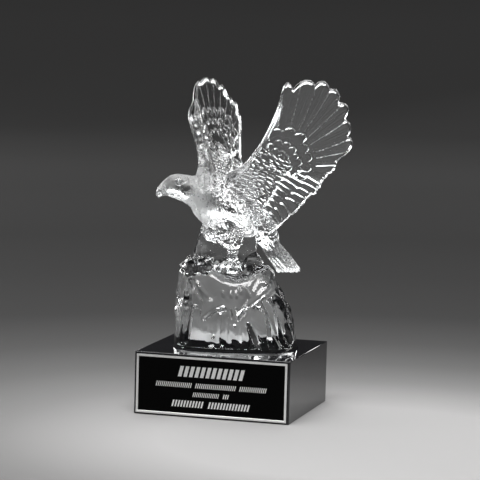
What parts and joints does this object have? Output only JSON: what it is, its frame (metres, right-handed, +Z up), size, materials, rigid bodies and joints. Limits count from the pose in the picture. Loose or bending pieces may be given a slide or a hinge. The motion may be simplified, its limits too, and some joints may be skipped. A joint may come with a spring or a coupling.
{
  "type": "crystal eagle figurine",
  "caption": "Clear cast-glass eagle with raised wings on a rocky pinnacle, standing on a black glass block with a bordered name plate.",
  "frame": {"origin": "centre of the block's underside", "axes": "+Z up, -Y out of the block's front face that carries the plate, +X to the right as seen from the front"},
  "size_m": [0.1267, 0.1191, 0.2157],
  "materials": {
    "clear_glass": "clear fire-polished cast crystal",
    "black_glass": "polished opaque black glass",
    "black_plate": "satin black coated aluminium with a bare silver border and strokes"
  },
  "bodies": {
    "root": {"eagle_and_rock": "clear_glass", "base_block": "black_glass", "name_plate": "black_plate"}
  },
  "joints": []
}
